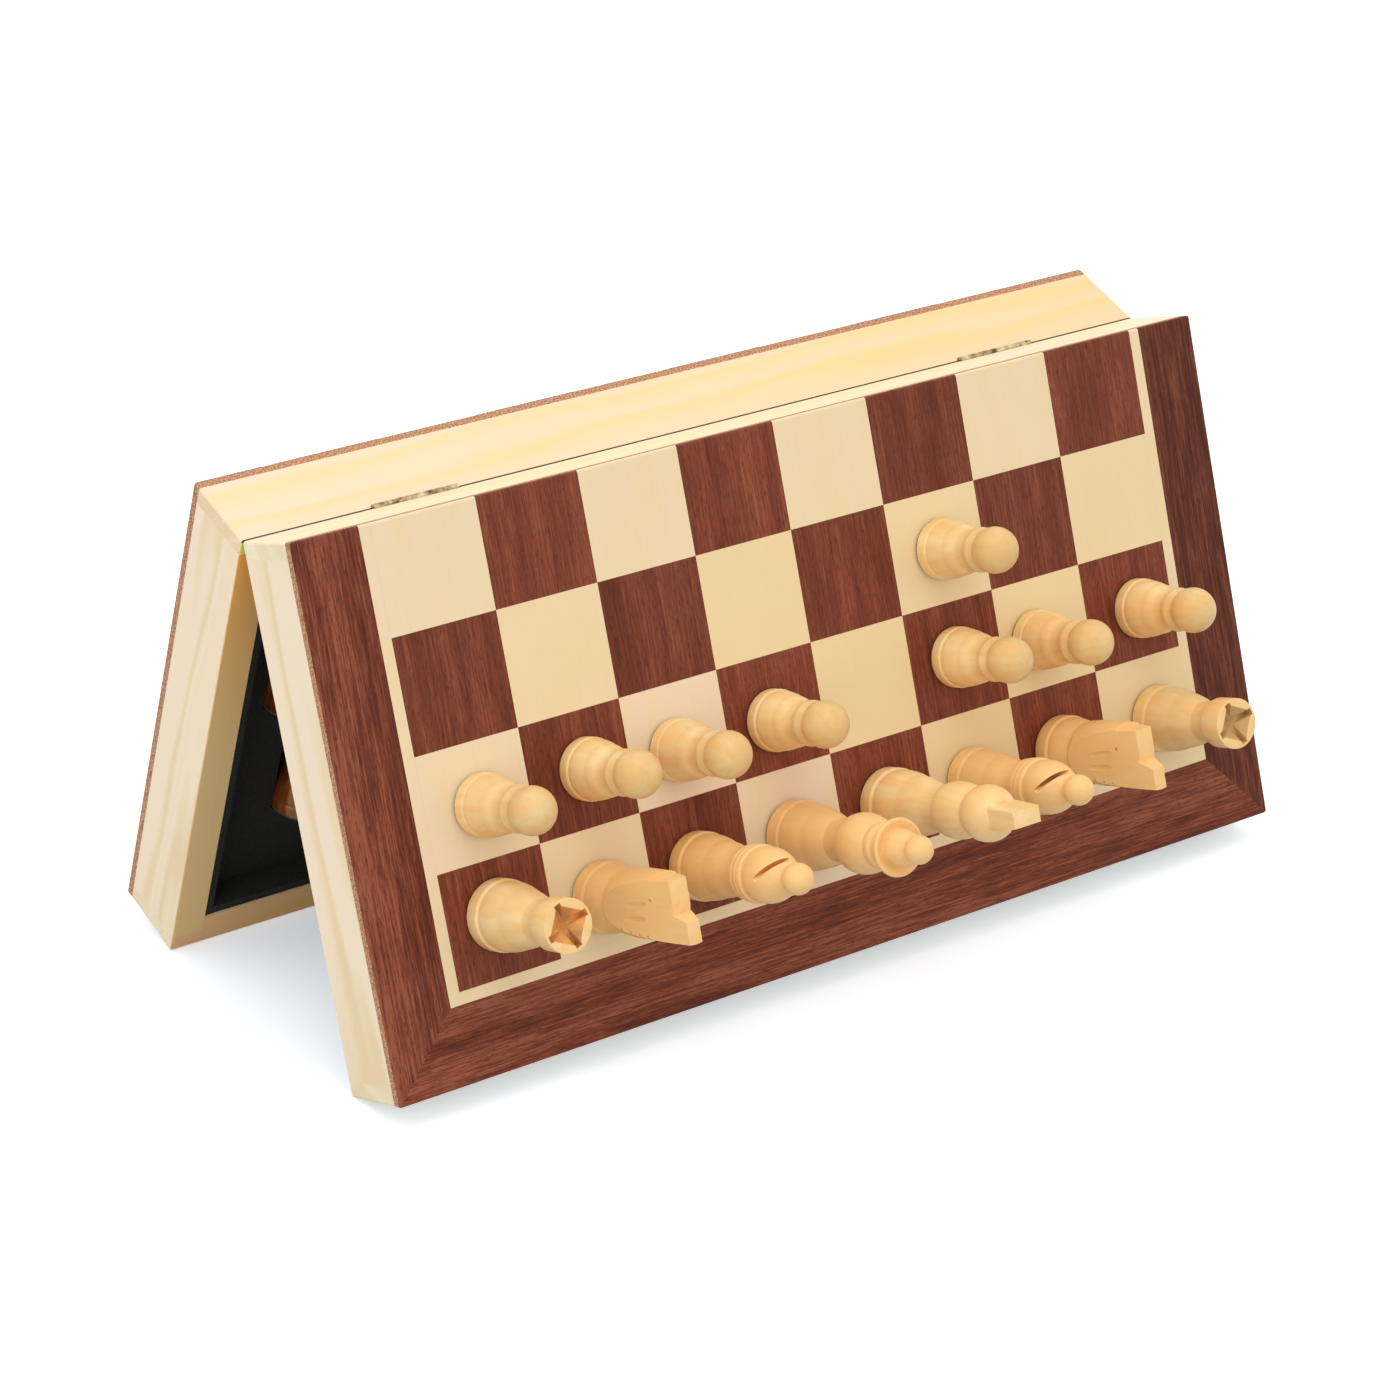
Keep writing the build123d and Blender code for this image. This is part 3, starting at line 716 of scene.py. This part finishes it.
# heights from the board, and places along the head from the man's axis, the nose being minus;
# the flats slant by slope for each millimetre down from the crest
knightHead = {
    "top": 42.0, "crest": 1.95, "slope": 0.225, "cutter": 24.0, "muzzleTop": 38.2, "muzzleCut": (13.0, 8.0),
    "muzzlePast": 0.2, "notch": (1.2, 37.4), "earTip": (3.0, 42.0), "earCut": (4.0, 8.0),
    "mane": (19.5, 22.5, 25.5, 28.5), "maneReach": 9.3, "maneCut": 0.7, "maneBlock": 6.0, "maneDepth": 1.1,
    "maneTilt": 20.0, "nose": (-7.9, 31.3), "noseCut": (4.0, 10.0),
    "grooves": (((-0.9, 21.0), (-1.7, 29.3)), ((2.8, 20.4), (2.5, 28.2))), "dent": (1.1, 0.9, 4.6),
    "dentDepth": 0.6, "eye": (-2.6, 30.5), "eyeRadius": 0.55, "eyeDrill": 4.0, "eyeDepth": 1.1,
    "round": 24, "rings": 16,
}


def flatAt(height):
    # how far the knight's flats stand from its middle at a height
    return knightHead["crest"] + (knightHead["top"] - height) * knightHead["slope"]


def carveOutline(man):
    # the side view: a muzzle lower than the ear, a notch between them, mane cuts and a flat nose
    look = knightHead
    notchY, notchHeight = look["notch"]
    earY, earHeight = look["earTip"]
    length, height = look["muzzleCut"]
    place = (0, notchY - look["muzzlePast"] - length / 2, look["muzzleTop"] + height / 2)
    cutAway(man, addBlock((look["cutter"], length, height), place))
    length, height = look["earCut"]
    rise = atan2(earY - notchY, earHeight - notchHeight)
    corner = Matrix.Translation((0, notchY, notchHeight)) @ Matrix.Rotation(-rise, 4, "X")
    place = corner @ Matrix.Translation((0, -length / 2, height / 2))
    cutAway(man, placeBlock((look["cutter"], length, height), place))
    for height in look["mane"]:
        edge = sqrt(look["maneReach"]**2 - flatAt(height)**2)
        place = (0, edge + look["maneBlock"] / 2 - look["maneDepth"], height)
        size = (look["cutter"], look["maneBlock"], look["maneCut"])
        cutAway(man, addBlock(size, place, (radians(look["maneTilt"]), 0, 0)))
    noseY, noseHeight = look["nose"]
    length, height = look["noseCut"]
    place = Matrix.Translation((0, noseY - length / 2, noseHeight + height / 2))
    cutAway(man, placeBlock((look["cutter"], length, height), place))


def carveGroove(man, side, low, high):
    # a long shallow dent with soft sides, from its low end to its high end
    look = knightHead
    middle = (low[1] + high[1]) / 2
    out = flatAt(middle) + look["dent"][0] - look["dentDepth"]
    place = Matrix.Translation((side * out, (low[0] + high[0]) / 2, middle))
    tilt = Matrix.Rotation(-side * atan2(look["slope"], 1), 4, "Y")
    tilt = tilt @ Matrix.Rotation(atan2(low[0] - high[0], high[1] - low[1]), 4, "X")
    clearSelection()
    bpy.ops.mesh.primitive_uv_sphere_add(segments=look["round"], ring_count=look["rings"], radius=1)
    dent = bpy.context.object
    dent.data.transform(Matrix.Scale(mm, 4) @ place @ tilt @ Matrix.Diagonal((*look["dent"], 1)))
    cutAway(man, dent)


def carveEye(man, side):
    # a small drilled hole in each flat
    look = knightHead
    eyeY, eyeHeight = look["eye"]
    out = flatAt(eyeHeight) - look["eyeDepth"] + look["eyeDrill"] / 2
    clearSelection()
    bpy.ops.mesh.primitive_cylinder_add(vertices=look["round"], radius=look["eyeRadius"] * mm,
                                        depth=look["eyeDrill"] * mm, rotation=(0, pi / 2, 0),
                                        location=(side * out * mm, eyeY * mm, eyeHeight * mm))
    hole = bpy.context.object
    bpy.ops.object.transform_apply(location=True, rotation=True)
    cutAway(man, hole)


def carveKnight(man):
    look = knightHead
    # the two flats, slanting in towards the crest
    pick(man)
    bpy.ops.object.mode_set(mode="EDIT")
    for side in (1, -1):
        bpy.ops.mesh.select_all(action="SELECT")
        bpy.ops.mesh.bisect(plane_co=(side * look["crest"] * mm, 0, look["top"] * mm),
                            plane_no=(side, 0, look["slope"]), use_fill=True, clear_outer=True)
    bpy.ops.object.mode_set(mode="OBJECT")
    carveOutline(man)
    for side in (1, -1):
        for low, high in look["grooves"]:
            carveGroove(man, side, low, high)
        carveEye(man, side)


# a rod of the turning's radius, longer than the block by spare, rounds off what stands outside it
kingBlock = {
    "low": 50.0, "high": 62.0, "foot": (9.6, 6.6), "top": (8.9, 4.5), "turning": 5.3, "spare": 2.0,
    "edge": 0.9,
}


def carveKing(man):
    # a squared block left at the tip of the turning, thinner towards its end
    look = kingBlock
    tall = look["high"] - look["low"]
    block = addBlock((*look["foot"], tall), (0, 0, look["low"] + tall / 2))
    pick(block)
    bpy.ops.object.mode_set(mode="EDIT")
    bpy.ops.mesh.select_mode(type="FACE")
    bpy.ops.mesh.select_all(action="DESELECT")
    bpy.ops.object.mode_set(mode="OBJECT")
    top = max(block.data.polygons, key=lambda face: face.center.z)
    top.select = True
    bpy.ops.object.mode_set(mode="EDIT")
    sizes = (look["top"][0] / look["foot"][0], look["top"][1] / look["foot"][1], 1)
    bpy.ops.transform.resize(value=sizes, center_override=(0, 0, look["high"] * mm))
    bpy.ops.object.mode_set(mode="OBJECT")
    clearSelection()
    bpy.ops.mesh.primitive_cylinder_add(vertices=turning["sides"], radius=look["turning"] * mm,
                                        depth=(tall + look["spare"]) * mm,
                                        location=(0, 0, (look["low"] + tall / 2) * mm))
    rod = bpy.context.object
    bpy.ops.object.transform_apply(location=True)
    combine(block, rod, "INTERSECT")
    roundEdges(block, look["edge"], turning["edgeSteps"])
    combine(man, block, "UNION")


carving = {"rook": carveRook, "bishop": carveBishop, "knight": carveKnight, "king": carveKing}


def finishMan(man):
    roundEdges(man, turning["edgeRound"], turning["edgeSteps"], turning["edgeAngle"])
    bpy.ops.object.shade_smooth_by_angle(angle=radians(turning["smoothAngle"]))
    for face in man.data.polygons:
        if len(face.vertices) > turning["mostCorners"]:
            face.use_smooth = False


patterns = {}
for kind in men:
    patterns[kind] = turnMan(kind)
    if kind in carving:
        carving[kind](patterns[kind])
    finishMan(patterns[kind])
print("men turned")


def copyMan(kind, name, place):
    man = patterns[kind].copy()
    man.data = patterns[kind].data.copy()
    man.name = name
    bpy.context.collection.objects.link(man)
    man.data.transform(place @ Matrix.Scale(1 / mm, 4))
    man.data.update()
    return man


def feltDisc(kind, name, place):
    clearSelection()
    radius = (men[kind][0][0] - felt["inset"]) * mm
    bpy.ops.mesh.primitive_cylinder_add(vertices=felt["sides"], radius=radius, depth=felt["thickness"] * mm,
                                        location=(0, 0, felt["thickness"] / 2 * mm))
    disc = bpy.context.object
    bpy.ops.object.transform_apply(location=True)
    roundEdges(disc, felt["edge"], felt["edgeSteps"])
    disc.name = name
    disc.data.transform(place @ Matrix.Scale(1 / mm, 4))
    bpy.ops.object.shade_smooth_by_angle(angle=radians(turning["smoothAngle"]))
    return disc


def standingPlace(node):
    # where a light man's felt meets the face, read from its node
    inverse = halfMatrix(front).inverted()
    low = [inverse @ vertex.co for vertex in nodes[node].data.vertices]
    floor = min(point.z for point in low)
    disc = [point for point in low if point.z < floor + felt["seat"]]
    u = (min(point.x for point in disc) + max(point.x for point in disc)) / 2
    v = (min(point.y for point in disc) + max(point.y for point in disc)) / 2
    return halfMatrix(front) @ Matrix.Translation((u, v, floor))


paleBoxwood = boxwood("boxwoodPale", 0.0)
warmBoxwood = boxwood("boxwoodWarm", boxwoodLook["warmMen"])
woods = {
    "pawn": boxwood("boxwoodPawn", 0.0, handled=True), "rook": paleBoxwood, "king": paleBoxwood,
    "knight": warmBoxwood, "bishop": warmBoxwood, "queen": warmBoxwood,
}
sawnShadedBoxwood = boxwood("boxwoodCrown", boxwoodLook["warmCrown"], boxwoodLook["sawn"])
# a darker painted-shade copy of the cut wood, for one rook's crown
shadedCrownBoxwood = boxwood("boxwoodShadedCrown", 0.0, boxwoodLook["aged"])
greenFelt = feltCloth("feltUnderMen", front)
for node in [name for name in nodes if name.startswith("light_") and name.count("_") == 2]:
    kind, square = node.split("_")[1:]
    place = standingPlace(node)
    label = kind + square.upper()
    man = copyMan(kind, label, place)
    man.data.materials.append(woods[kind])
    if kind in ("rook", "bishop"):
        # the far rook's crown takes the darker painted-shade copy
        man.data.materials.append(shadedCrownBoxwood if node == "light_rook_h1" else sawnShadedBoxwood)
    disc = feltDisc(kind, label + "Felt", place)
    disc.data.materials.append(greenFelt)
    for piece in (man, disc):
        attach(piece, node)
    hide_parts(node)
print("light men standing")

# wall and end are the foam and the clearance past a tall man's head
store = {
    "below": 0.3, "pawns": 8, "pawnPitch": 31.5, "pawnBase": 114.0, "officerPitch": 33.8, "officerBase": 73.4,
    "officers": ["rook", "knight", "bishop", "queen", "king", "bishop", "knight", "rook"],
    "tall": {"knight": 42.0, "king": 62.0}, "wall": 2.0, "end": 0.6,
}


def storedPlaces():
    # each kind with its place along the hinge and the line of its base
    middle = (store["pawns"] - 1) / 2
    places = []
    for slot in range(store["pawns"]):
        places.append(("pawn", (slot - middle) * store["pawnPitch"], store["pawnBase"]))
    for slot, kind in enumerate(store["officers"]):
        least = board["rail"] + store["wall"] + store["end"] + store["tall"].get(kind, 0)
        places.append((kind, (slot - middle) * store["officerPitch"], max(store["officerBase"], least)))
    return places


stained = stainedWood("stainedMen")
lying = {}
for number, (kind, u, baseV) in enumerate(storedPlaces()):
    axis = store["below"] + men[kind][0][0]
    lay = Matrix.Translation((u, baseV, axis)) @ Euler((pi / 2, 0, 0)).to_matrix().to_4x4()
    man = copyMan(kind, f"dark{kind.capitalize()}{number}", halfMatrix(rear) @ lay)
    lying.setdefault(kind, []).append(man)
for kind, group in lying.items():
    clearSelection()
    for man in group:
        man.select_set(True)
    bpy.context.view_layer.objects.active = group[0]
    if len(group) > 1:
        bpy.ops.object.join()
    plural = "s" if len(group) > 1 else ""
    group[0].name = "dark" + kind.capitalize() + plural
    group[0].data.materials.append(stained)
    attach(group[0], "rear_half")
    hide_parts("dark_" + kind + plural)
wear("dark_piece_felts", feltCloth("feltOfStoredMen", rear))
wear("dark_piece_magnets", plate)
for pattern in patterns.values():
    bpy.data.objects.remove(pattern)
print("dark men laid away")

# floor, lamps and camera; the floor's seen colours are for the camera, its tone and glow for the
# object and its gloss
studio = {
    "floorSize": 6.0, "floorDrop": 0.2, "floorTone": (0.47, 0.50, 0.53, 1),
    "floorGlow": (0.57, 0.54, 0.51, 1), "seenTone": (0.93, 0.97, 1.0, 1), "seenGlow": (0.34, 0.37, 0.41, 1),
    "overhead": ((-0.2, -0.3, 1.5), (0, 0, 0.05), 4.0),
    "leftFill": ((-1.4, -0.7, 0.35), (0, 0, 0.08), 3.0),
    "lampSize": 1.0, "camera": (-0.642419, -0.868192, 0.423907), "lens": 107.82, "sensor": 36.0,
    "clip": (0.05, 20.0),
    "forward": (0.5355312, 0.72898934, -0.42635769), "down": (-0.23859883, -0.35368185, -0.90442233),
}


def paleFloor():
    clearSelection()
    bpy.ops.mesh.primitive_plane_add(size=studio["floorSize"], location=(0, 0, -studio["floorDrop"] * mm))
    floor = bpy.context.object
    floor.name = "floor"
    material = bpy.data.materials.new("paleFloor")
    material.use_nodes = True
    tree = material.node_tree
    tree.nodes.clear()
    path = put(tree, "LightPath")
    direct = path.outputs["Is Camera Ray"]
    seen = calc(tree, "MAXIMUM", direct, path.outputs["Is Glossy Ray"])
    tone = mix(tree, direct, studio["floorTone"], studio["seenTone"])
    shine = mix(tree, direct, studio["floorGlow"], studio["seenGlow"])
    diffuse = put(tree, "BsdfDiffuse", {"Color": tone}).outputs[0]
    glow = put(tree, "Emission", {"Color": shine, "Strength": seen}).outputs[0]
    both = put(tree, "AddShader", {0: diffuse, 1: glow}).outputs[0]
    tree.links.new(both, put(tree, "OutputMaterial").inputs[0])
    floor.data.materials.append(material)


def whiteWorld():
    world = bpy.data.worlds.new("studio")
    bpy.context.scene.world = world
    world.use_nodes = True
    tree = world.node_tree
    tree.nodes.clear()
    sky = put(tree, "Background", {"Color": (1, 1, 1, 1), "Strength": 1.0}).outputs[0]
    tree.links.new(sky, put(tree, "OutputWorld").inputs[0])


def softBox(name):
    # a square lamp at a place, aimed at a point, with its power in watts
    place, aim, power = studio[name]
    lamp = bpy.data.lights.new(name, "AREA")
    lamp.shape, lamp.size, lamp.energy = "SQUARE", studio["lampSize"], power
    box = bpy.data.objects.new(name, lamp)
    box.location = place
    box.rotation_euler = (Vector(aim) - Vector(place)).to_track_quat("-Z", "Y").to_euler()
    bpy.context.collection.objects.link(box)


def lookAt():
    # the camera's place is counted from the hinge
    lens = bpy.data.cameras.new("camera")
    lens.lens, lens.sensor_width = studio["lens"], studio["sensor"]
    lens.clip_start, lens.clip_end = studio["clip"]
    camera = bpy.data.objects.new("camera", lens)
    forward, down = Vector(studio["forward"]), Vector(studio["down"])
    right = down.cross(forward)
    turn = Matrix((right, -down, -forward)).transposed().to_4x4()
    camera.matrix_world = Matrix.Translation(hingePoint + Vector(studio["camera"])) @ turn
    bpy.context.collection.objects.link(camera)
    bpy.context.scene.camera = camera


paleFloor()
whiteWorld()
softBox("overhead")
softBox("leftFill")
lookAt()
bpy.context.scene.view_settings.view_transform = "Standard"
print("studio ready")
